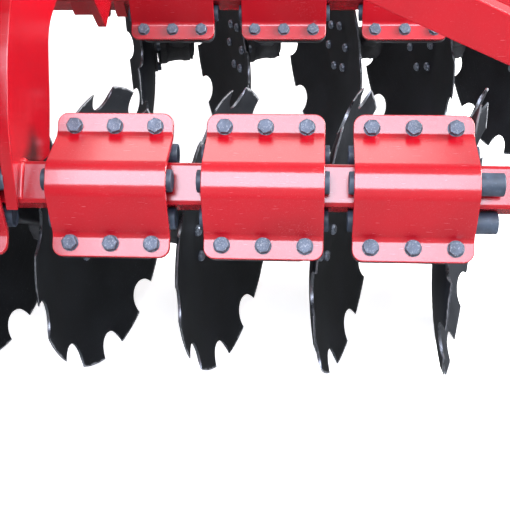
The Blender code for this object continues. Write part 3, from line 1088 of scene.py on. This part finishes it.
# ---- discs ----------------------------------------------------------------------------------
@dataclass
class NotchedDisc:
    """Concave notched disc with its hub flange and ring of bolts."""

    radius: float = 0.288
    dish: float = 0.056
    thick: float = 0.006
    flat: float = 0.085
    notches: int = 10
    notch_radius: float = 0.0415
    bolt_circle: float = 0.064
    bolts: int = 6

    def depth(self, radius: float) -> float:
        """Return how far the hollow face lies behind the rim plane."""
        return self.dish * (1.0 - (max(radius, self.flat) / self.radius) ** 2)

    def blank(self, name: str) -> bpy.types.Object:
        """Spin the dished blank with its ground cutting edge.

        Args:
            name: Name of the piece.

        Returns:
            The blank, its rim plane at the origin.
        """
        rise = (0.040, 0.070, self.flat - 0.004, self.flat + 0.004, 0.110, 0.135, 0.160, 0.185,
                0.210, 0.235, 0.255, 0.272)
        face = [(0.0, -self.depth(0.0))]
        face += [(r, -self.depth(r)) for r in rise]
        face += [(self.radius, -0.0005), (self.radius, -0.0030)]
        back = [(r, -self.depth(r) - self.thick) for r in reversed(rise)]
        back += [(0.0, -self.depth(0.0) - self.thick)]
        return Bench.lathe(name, face + back, 144)

    def pattern(self, name: str) -> bpy.types.Object:
        """Cut the notches into the blank and mark the worn edge faces.

        Args:
            name: Name of the piece.

        Returns:
            The finished disc, its rim plane at the origin.
        """
        obj = self.blank(name)
        spots = around(self.notches, self.radius - 0.001)
        Bench.drill(obj, [
            Bench.bar("cutter", spot + lift(-0.08), spot + lift(0.04), self.notch_radius, 56)
            for spot in spots
        ])
        Bench.modify(
            obj, "BEVEL", width=0.0009, segments=2, limit_method="ANGLE",
            angle_limit=math.radians(50.0), use_clamp_overlap=True,
        )
        Bench.shade(obj, 30.0)
        Bench.paint(obj, Finish.DISC, Finish.DISC_EDGE)
        for polygon in obj.data.polygons:
            far = math.hypot(polygon.center.x, polygon.center.y) > 0.2
            polygon.material_index = 1 if far and abs(polygon.normal.z) < 0.72 else 0
        layer = obj.data.uv_layers.new(name="polar")
        for loop in obj.data.loops:
            spot = obj.data.vertices[loop.vertex_index].co
            share = math.hypot(spot.x, spot.y) / self.radius
            layer.data[loop.index].uv = (share, math.atan2(spot.y, spot.x) / math.tau)
        return obj

    def hub(self, name: str) -> bpy.types.Object:
        """Model the flange behind the disc, domed bolts in front and nuts behind.

        Args:
            name: Name of the piece.

        Returns:
            The hub in the disc's own axes.
        """
        front = -self.depth(0.0)
        back = front - self.thick
        flange = Bench.lathe("flange", [
            (0.0, back - 0.0002), (0.068, back - 0.0002), (0.070, back - 0.002),
            (0.070, back - 0.009), (0.040, back - 0.0105), (0.036, back - 0.0108),
            (0.0195, back - 0.0110), (0.0195, back - 0.030), (0.0, back - 0.030),
        ], 48)
        Bench.shade(flange, 35.0)
        parts = [Bench.paint(flange, Finish.FORGED)]
        for spot in around(self.bolts, self.bolt_circle):
            dome = Bench.bar(
                "dome", spot + lift(front - 0.0005), spot + lift(front + 0.0085), 0.0115, 20
            )
            Bench.pick(dome, "EDGE", lambda e, d=dome: all(
                d.data.vertices[i].co.z > front + 0.008 for i in e.vertices))
            bpy.ops.mesh.bevel(offset=0.0062, segments=4, affect="EDGES")
            Bench.shade(dome, 50.0)
            nut = Bench.bar(
                "nut", spot + lift(back - 0.0185), spot + lift(back - 0.0085), 0.0105, 6
            )
            Bench.soften(nut, 0.001, 2)
            parts += [Bench.paint(dome, Finish.STUD), Bench.paint(nut, Finish.ZINC)]
        return Bench.join(name, parts)

    def place(self, centre: Vector, axis: Vector, phase: float) -> Matrix:
        """Set the pattern on its joint.

        Args:
            centre: Point on the joint's axis in the rim plane.
            axis: Unit axis of the joint.
            phase: Turn of the first notch about the axis, in radians.

        Returns:
            The matrix of the turn and the place.
        """
        side = Vector((0.0, 0.0, 1.0)).cross(axis).normalized()
        other = axis.cross(side)
        turn = Matrix((side, other, axis)).transposed().to_4x4()
        return Matrix.Translation(centre) @ turn @ Matrix.Rotation(phase, 4, "Z")


@dataclass
class Gang:
    """One row: its clamps, arms and discs."""

    row: Row
    phases: tuple[float, ...]
    clamp: SaddleClamp = field(default_factory=SaddleClamp)
    arm: DiscArm = field(default_factory=DiscArm)
    disc: NotchedDisc = field(default_factory=NotchedDisc)
    long_roll: int = 8
    roll_extra: float = 0.030
    shell_short: float = 0.022
    arm_root: float = 0.047

    def beam_centre(self, number: int) -> Vector:
        """Find where a clamp's middle sits on its beam.

        Args:
            number: Number of the clamp in its row.

        Returns:
            The clamp's middle.
        """
        label = self.row.label
        beam = middle("%s_beam" % label)
        return Vector((middle("%s_clamp_plate_%d" % (label, number)).x, beam.y, beam.z))

    def build(self) -> None:
        """Build and dress every clamp, arm and disc of the row."""
        label, toward = self.row.label, self.row.toward
        half = self.clamp.width / 2.0
        plate = self.clamp.half_shell("plate_pattern", -half, half)
        short = (-half, half - self.shell_short)
        if toward < 0:
            short = (-half + self.shell_short, half)
        shell = self.clamp.half_shell("shell_pattern", *short)
        shell.data.transform(Matrix.Rotation(math.pi, 4, "X"))
        bolts = self.clamp.bolt_set("bolts_pattern")
        rolls = self.clamp.rolls("rolls_pattern", 0.0, short)
        long_rolls = self.clamp.rolls("long_rolls_pattern", self.roll_extra, short)
        disc = self.disc.pattern("disc_pattern")
        hub = self.disc.hub("hub_pattern")
        for number in range(1, len(self.phases) + 1):
            where = self.clamp.place(self.beam_centre(number))
            self._clamp(number, where, plate, shell, bolts)
            reach = long_rolls if (toward > 0 and number == self.long_roll) else rolls
            rubber = Bench.copy(reach, "%s_rubber_rolls_%d" % (label, number), where)
            hand_over(Bench.paint(rubber, Finish.RUBBER), "frame")
            self._arm(number)
            self._disc(number, disc, hub)
        Bench.scrap(plate, shell, bolts, rolls, long_rolls, disc, hub)

    def _clamp(
        self, number: int, where: Matrix, plate: bpy.types.Object, shell: bpy.types.Object,
        bolts: bpy.types.Object,
    ) -> None:
        """Set one clamp's plates and bolts on the beam.

        Args:
            number: Number of the clamp in its row.
            where: Place of the clamp.
            plate: Pattern of the front plate.
            shell: Pattern of the rear half's shell.
            bolts: Pattern of the bolts.
        """
        label = self.row.label
        front = Bench.copy(plate, "%s_saddle_plate_%d" % (label, number), where)
        node = "%s_clamp_plate_%d" % (label, number)
        hand_over(Bench.paint(front, Finish.PLATE_RED), "frame", [node])
        back = Bench.copy(shell, "%s_rear_shell_%d" % (label, number), where)
        hand_over(
            Bench.paint(back, Finish.FORGED), "frame",
            ["%s_arm_%d" % (label, number)],
        )
        ring = Bench.copy(bolts, "%s_clamp_bolts_%d" % (label, number), where)
        hand_over(Bench.paint(ring, Finish.ZINC), "frame")

    def _arm(self, number: int) -> None:
        """Model one arm between its clamp and its disc's hub.

        Args:
            number: Number of the arm in its row.
        """
        label = self.row.label
        centre, axis = spin_of("%s_disc_%d" % (label, number))
        housing = self.arm.housing("%s_hub_housing_%d" % (label, number), centre, axis)
        hand_over(Bench.paint(housing, Finish.FORGED), "frame")
        root = self.beam_centre(number) + Vector((0.0, self.arm_root, -self.arm_root))
        hub = centre - axis * (self.arm.hub_gap + self.arm.hub_half)
        blade = self.arm.blade("%s_arm_blade_%d" % (label, number), root, hub, self.row.toward)
        hand_over(Bench.paint(blade, Finish.FORGED), "frame")

    def _disc(self, number: int, disc: bpy.types.Object, hub: bpy.types.Object) -> None:
        """Set one disc and its hub on their joint.

        Args:
            number: Number of the disc in its row.
            disc: Pattern of the disc.
            hub: Pattern of the hub.
        """
        body = "%s_disc_%d" % (self.row.label, number)
        centre, axis = spin_of(body)
        where = self.disc.place(centre, axis, math.radians(self.phases[number - 1]))
        blank = Bench.copy(disc, "%s_notched_disc_%d" % (self.row.label, number), where)
        hand_over(blank, body, [body])
        ring = Bench.copy(hub, "%s_disc_hub_%d" % (self.row.label, number), where)
        hand_over(ring, body)


# ---- frame ----------------------------------------------------------------------------------
@dataclass
class MainFrame:
    """Beams, arch plates and the welded pieces that tie them together."""

    beam_side: float = 0.070
    corner: float = 0.007
    wall: float = 0.008
    recess: float = 0.120
    seat_gap: float = 0.0003
    bead_radius: float = 0.0052
    lug_width: float = 0.046
    lug_round: float = 0.009
    lug_sizes: tuple[Point, ...] = (
        (0.022, 0.064, 0.052), (0.066, 0.106, 0.057), (0.1245, 0.150, 0.057),
    )

    def beam(self, node: str) -> None:
        """Model one square tube standing on its edge, open at both ends.

        Args:
            node: CAD node that the tube stands for.
        """
        low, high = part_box(node)
        length = high[0] - low[0]
        obj = Bench.block(node + "_tube", (0, 0, 0), (length, self.beam_side, self.beam_side))
        Bench.pick(obj, "FACE", lambda p: abs(p.normal.x) > 0.9)
        bpy.ops.mesh.inset(thickness=self.wall, use_individual=True)
        for side in (1.0, -1.0):
            end = Vector((side * length / 2.0, 0.0, 0.0))
            Bench.pick(obj, "FACE", lambda p, e=end: (p.center - e).length < 1e-4)
            push = (-self.recess * side, 0.0, 0.0)
            bpy.ops.mesh.extrude_region_move(TRANSFORM_OT_translate={"value": push})
        Bench.pick(obj, "EDGE", lambda e: self._long_outer(obj, e))
        bpy.ops.mesh.bevel(offset=self.corner, segments=5, affect="EDGES")
        Bench.outward(obj)
        Bench.soften(obj, 0.0008, 2, 60.0)
        obj.data.transform(Matrix.Rotation(math.radians(45.0), 4, "X"))
        obj.data.transform(Matrix.Translation(middle(node)))
        hand_over(Bench.paint(obj, Finish.FRAME_RED), "frame", [node])

    def _long_outer(self, obj: bpy.types.Object, edge: Any) -> bool:
        """Tell whether an edge is one of the tube's four long outer corners.

        Args:
            obj: Tube before it is turned.
            edge: Edge of the tube.

        Returns:
            True for an outer corner.
        """
        first, second = (obj.data.vertices[index].co for index in edge.vertices)
        outer = self.beam_side / 2.0 - 1e-4
        return abs(first.x - second.x) > 0.5 and abs(first.y) > outer and abs(first.z) > outer

    def arch(self, node: str) -> None:
        """Model one arch plate over both beams with soft outer curves.

        Args:
            node: CAD node that the plate stands for.
        """
        low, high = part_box(node)
        front, rear = middle("front_beam"), middle("rear_beam")
        span = rear.y - front.y
        seat = (self.beam_side / 2.0 + self.seat_gap) * math.sqrt(2.0)
        outer = [
            (-0.064, -0.006), (-0.052, 0.040), (-0.027, 0.119), (0.038, 0.214),
            (0.105, 0.279), (0.200, 0.325), (0.300, 0.345),
        ]
        inner = [
            (seat, 0.0), (0.134, -0.028), (0.193, 0.052), (0.233, 0.117), (0.265, 0.160),
            (0.339, 0.179),
        ]
        trace = outer + [(span - y, z) for y, z in reversed(outer)]
        trace += [(span + seat, 0.0), (span, seat)]
        trace += [(span - y, z) for y, z in inner] + list(reversed(inner))
        trace += [(0.0, seat), (-seat, 0.0)]
        outline = [(low[0], front.y + y, front.z + z) for y, z in trace]

        def rounds(spot: Vector) -> float:
            """Choose a corner radius.

            Args:
                spot: Corner of the outline.

            Returns:
                The radius, zero for a sharp corner.
            """
            up = spot.z - front.z
            if up > 0.30 or 0.10 < up < 0.17:
                return 0.026
            return 0.022 if 0.17 <= up <= 0.30 or 0.03 < up < 0.055 else 0.0

        obj = Bench.slab(node + "_plate", outline, (high[0] - low[0], 0.0, 0.0), rounds)
        Bench.soften(obj, 0.0016, 2, 35.0)
        hand_over(Bench.paint(obj, Finish.FRAME_RED), "frame", [node])
        self._welds(node, low[0], high[0], front, seat)
        self._welds(node + "_rear", low[0], high[0], rear, seat)

    def _welds(self, name: str, low: float, high: float, beam: Vector, seat: float) -> None:
        """Lay beads along a plate's seat on a beam.

        Args:
            name: Start of the piece's name.
            low: Plate's face towards -X.
            high: Plate's face towards +X.
            beam: Middle of the beam.
            seat: Half of the beam's diagonal, with the joint line.
        """
        beads = []
        for x in (low - 0.001, high + 0.001):
            for y in (-seat, seat):
                start = Vector((x, beam.y + y * 0.92, beam.z + seat * 0.06))
                end = Vector((x, beam.y + y * 0.06, beam.z + seat * 0.94))
                beads.append(self.bead("bead", start, end))
        obj = Bench.join(name + "_welds", beads)
        hand_over(Bench.paint(obj, Finish.WELD), "frame")

    def bead(self, name: str, start: Vector, end: Vector) -> bpy.types.Object:
        """Model one weld bead with scale-like ripples.

        Args:
            name: Name of the piece.
            start: First end of the bead.
            end: Other end of the bead.

        Returns:
            The bead in place.
        """
        length = (end - start).length
        ripples = max(6, int(length / 0.0042))
        profile = [(0.0, 0.0)]
        for number in range(ripples * 2 + 1):
            swell = 1.0 if number % 2 else 0.82
            ends = 0.7 if number in (0, ripples * 2) else 1.0
            profile.append((self.bead_radius * swell * ends, length * number / (ripples * 2)))
        profile.append((0.0, length))
        obj = Bench.lathe(name, profile, 10)
        turn = (end - start).to_track_quat("Z", "Y").to_matrix().to_4x4()
        obj.data.transform(Matrix.Translation(start) @ turn)
        Bench.shade(obj, 80.0)
        return obj

    def lugs(self) -> None:
        """Weld the short lugs and the block that hang under the rear beam at the plates.

        Each lug's size gives its two faces along X and its depth below the beam's middle.
        """
        beam = middle("rear_beam")
        parts = []
        front = beam.y - self.lug_width
        for low, high, deep in self.lug_sizes:
            level = beam.z - deep
            outline = [
                (low, front, beam.z + 0.004), (low, front + 0.012, beam.z - deep * 0.65),
                (low, front + 0.024, level), (low, beam.y, level),
                (low, beam.y, beam.z - self.lug_width),
            ]

            def rounds(spot: Vector, floor: float = level) -> float:
                """Return the corner radius at a place of the outline."""
                return self.lug_round if abs(spot.z - floor) < 1e-5 else 0.0

            lug = Bench.slab("lug", outline, (high - low, 0.0, 0.0), rounds)
            Bench.soften(lug, 0.0015, 2)
            parts.append(lug)
        obj = Bench.join("rear_lugs", parts)
        hand_over(Bench.paint(obj, Finish.FRAME_RED), "frame")

    def dress(self, node: str, finish: Finish, bevel: float) -> None:
        """Round and paint a CAD node whose shape is already right.

        Args:
            node: CAD node to dress.
            finish: Its finish.
            bevel: Width of its rounded edges.
        """
        obj = frame["nodes"][node]
        weld = obj.modifiers.new("weld", "WELD")
        weld.merge_threshold = 0.00002
        soft = obj.modifiers.new("soft", "BEVEL")
        soft.width = bevel
        soft.segments = 3
        soft.limit_method = "ANGLE"
        soft.angle_limit = math.radians(28.0)
        Bench.paint(obj, finish)

    def build(self) -> None:
        """Build the beams and arch plates and dress the rest of the frame."""
        for node in ("front_beam", "rear_beam"):
            self.beam(node)
        for node in ("arch_plate_left", "arch_plate_right"):
            self.arch(node)
        for node in ("mast", "brace_left", "brace_right", "drawbar", "roller_frame", "stand"):
            self.dress(node, Finish.FRAME_RED, 0.004)
        self.lugs()


# ---- roller ---------------------------------------------------------------------------------
@dataclass
class CageRoller:
    """Cage of round bars through three lightened webs on a centre tube."""

    bars: int = 8
    bar_radius: float = 0.0155
    bar_inset: float = 0.017
    web_thick: float = 0.012
    web_inset: float = 0.016
    stub_radius: float = 0.020
    stub_reach: float = 0.036
    holes: int = 5
    hole_circle: float = 0.56
    hole_size: float = 0.19

    def web(self, name: str, radius: float) -> bpy.types.Object:
        """Model one web with a hub boss and round lightening holes.

        Args:
            name: Name of the piece.
            radius: Radius of the web.

        Returns:
            The web about Z, its middle at the origin.
        """
        half = self.web_thick / 2.0
        obj = Bench.lathe(name, [
            (0.0, -half), (radius, -half), (radius, half), (0.0, half),
        ], 96)
        spots = around(self.holes, radius * self.hole_circle, 0.5)
        Bench.drill(obj, [
            Bench.bar("cutter", spot + lift(-0.05), spot + lift(0.05),
                      radius * self.hole_size, 40)
            for spot in spots
        ])
        Bench.soften(obj, 0.0012, 2, 40.0)
        boss = Bench.lathe("boss", [
            (0.0, -half - 0.018), (0.036, -half - 0.018), (0.042, -half), (0.042, half),
            (0.036, half + 0.018), (0.0, half + 0.018),
        ], 40)
        Bench.soften(boss, 0.002, 2)
        return Bench.join(name, [obj, boss])

    def build(self) -> None:
        """Build the roller on its own body."""
        low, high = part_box("roller")
        centre, _ = spin_of("roller")
        radius = (high[2] - low[2]) / 2.0
        stub = (high[0] - low[0]) / 2.0
        half = stub - self.stub_reach
        parts = [
            Bench.bar("tube", (-stub, centre.y, centre.z), (stub, centre.y, centre.z),
                      self.stub_radius, 40),
        ]
        Bench.soften(parts[0], 0.002, 2)
        across = Matrix.Rotation(math.radians(90.0), 4, "Y")
        for place in (-half + 0.006, 0.0, half - 0.006):
            web = self.web("web", radius - self.web_inset)
            web.data.transform(Matrix.Translation((place, centre.y, centre.z)) @ across)
            parts.append(web)
        for spot in around(self.bars, radius - self.bar_inset, 0.5):
            y, z = centre.y + spot.x, centre.z + spot.y
            bar = Bench.bar(
                "bar", (-half + 0.0006, y, z), (half - 0.0006, y, z), self.bar_radius, 28
            )
            Bench.soften(bar, 0.0015, 2)
            parts.append(bar)
            for place in (-half + 0.014, -0.008, 0.008, half - 0.014):
                ring = Bench.lathe("weld", [
                    (0.0, -0.003), (self.bar_radius + 0.001, -0.003),
                    (self.bar_radius + 0.0035, 0.0), (self.bar_radius + 0.001, 0.003),
                    (0.0, 0.003),
                ], 16)
                ring.data.transform(Matrix.Translation((place, y, z)) @ across)
                Bench.shade(ring, 60.0)
                parts.append(ring)
        cage = Bench.join("cage_roller", parts)
        hand_over(Bench.paint(cage, Finish.FRAME_RED), "roller", ["roller"])


# ---- studio ---------------------------------------------------------------------------------
@dataclass(frozen=True)
class Lamp:
    """Soft rectangular lamp."""

    name: str
    spot: Point
    aim: Point
    size: tuple[float, float]
    power: float
    tint: Point = (1.0, 1.0, 1.0)

    def hang(self) -> None:
        """Hang the lamp and point it."""
        data = bpy.data.lights.new(self.name, "AREA")
        data.shape = "RECTANGLE"
        data.size, data.size_y = self.size
        data.energy = self.power
        data.color = self.tint
        lamp = bpy.data.objects.new(self.name, data)
        bpy.context.scene.collection.objects.link(lamp)
        lamp.location = self.spot
        beam = Vector(self.aim) - Vector(self.spot)
        lamp.rotation_euler = beam.to_track_quat("-Z", "Y").to_euler()


@dataclass
class Studio:
    """Floor, lights and camera; the camera's angles are in degrees."""

    eye: Point = (0.6114, -1.5792, 1.3886)
    heading: float = -5.18
    dip: float = 39.67
    roll: float = -2.30
    lens: float = 61.88
    floor_size: float = 240.0
    lamps: tuple[Lamp, ...] = (
        Lamp("front_softbox", (-0.15, -2.2, 3.25), (0.1, -0.4, 0.6), (3.8, 1.4), 215.0,
             (0.80, 0.84, 1.0)),
        Lamp("right_softbox", (3.0, -0.1, 1.9), (0.0, -0.1, 0.6), (1.6, 1.6), 330.0),
        Lamp("left_fill", (-3.2, -1.2, 2.2), (0.0, 0.0, 0.5), (2.0, 2.0), 25.0),
        Lamp("rear_softbox", (-0.3, 3.2, 3.1), (0.0, 0.2, 0.55), (3.4, 1.6), 45.0),
    )

    def build(self) -> None:
        """Set up the studio."""
        Bench.clear()
        bpy.ops.mesh.primitive_plane_add(size=self.floor_size, location=(0.0, 0.0, -0.0005))
        floor = Bench.adopt("floor")
        Bench.paint(floor, Finish.FLOOR)
        floor.visible_glossy = False
        self._world()
        for lamp in self.lamps:
            lamp.hang()
        self._camera()

    @staticmethod
    def _world() -> None:
        """Light the surroundings evenly from above and keep them dark below."""
        board = Board.world("soft_white")
        place = board.node("ShaderNodeTexCoord", {}, {}, "Generated")
        height = board.node("ShaderNodeSeparateXYZ", {}, {"Vector": place}, "Z")
        level = board.node("ShaderNodeMapRange", {}, {
            "Value": height, "From Min": -0.12, "From Max": 0.10, "To Min": 0.12,
            "To Max": 0.68,
        })
        bpy.context.scene.world = board.give(Color=(0.93, 0.97, 1.0), Strength=level)

    def _camera(self) -> None:
        """Place the camera."""
        data = bpy.data.cameras.new("camera")
        data.lens = self.lens
        data.sensor_width = 36.0
        camera = bpy.data.objects.new("camera", data)
        bpy.context.scene.collection.objects.link(camera)
        turn = Matrix.Rotation(math.radians(-self.heading), 4, "Z")
        turn = turn @ Matrix.Rotation(math.radians(90.0 - self.dip), 4, "X")
        turn = turn @ Matrix.Rotation(math.radians(self.roll), 4, "Z")
        camera.matrix_world = Matrix.Translation(self.eye) @ turn
        bpy.context.scene.camera = camera
        bpy.context.scene.view_settings.view_transform = "Standard"


# Degrees from level to the first notch of each disc, from -X to +X.
FRONT_PHASES = (11.0, 27.0, 5.0, 17.0, 1.0, 29.5, 22.0, 8.0)
REAR_PHASES = (9.0, 31.0, 17.0, 24.0, 14.7, 20.8, 27.0, 33.6)


def main() -> None:
    """Build the harrow and its studio."""
    logging.basicConfig(level=logging.INFO, format="%(message)s")
    MainFrame().build()
    CageRoller().build()
    Gang(Row.FRONT, FRONT_PHASES).build()
    Gang(Row.REAR, REAR_PHASES).build()
    Studio().build()


if __name__ == "__main__":
    main()
